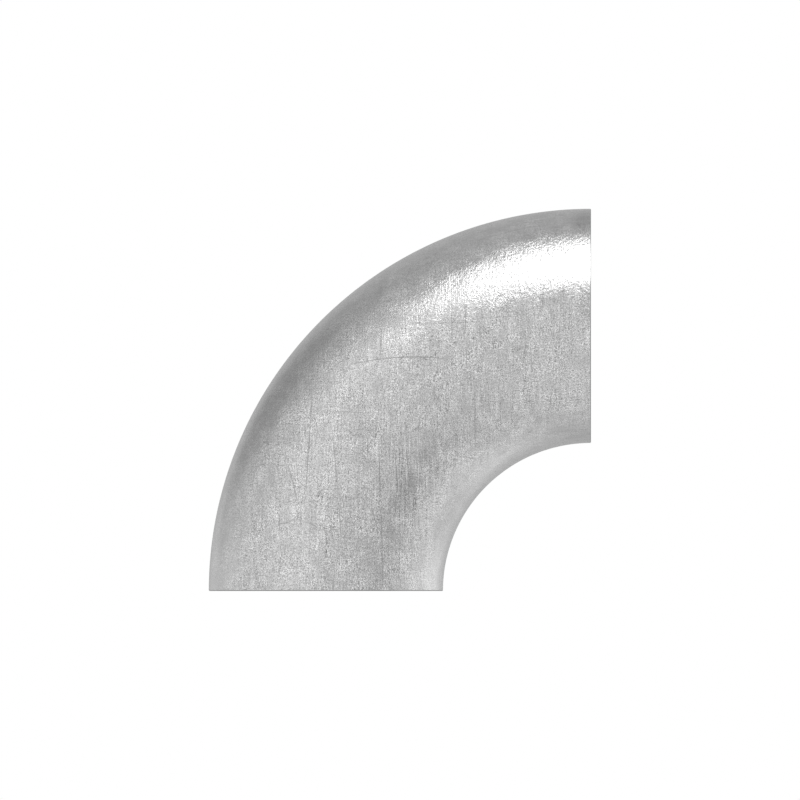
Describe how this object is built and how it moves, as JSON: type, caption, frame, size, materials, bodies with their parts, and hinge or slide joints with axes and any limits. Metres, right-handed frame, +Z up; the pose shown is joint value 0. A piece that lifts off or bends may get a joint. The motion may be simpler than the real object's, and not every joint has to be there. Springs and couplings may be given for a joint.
{
  "type": "weld elbow",
  "caption": "Quarter-turn butt-weld pipe elbow of steel, long radius, with plain square-cut ends.",
  "frame": {"origin": "centre of the elbow's bounding box in X and Y, in the plane of the lower end face", "axes": "+Z up from the lower end face, +X out of the side end, bend axis along Y at x 0.0346, z 0"},
  "size_m": [0.0692, 0.0424, 0.0692],
  "materials": {
    "steel": "drawn steel with a fine brushed grain and light scratches, unpainted"
  },
  "bodies": {
    "root": {"elbow": "steel"}
  },
  "joints": []
}
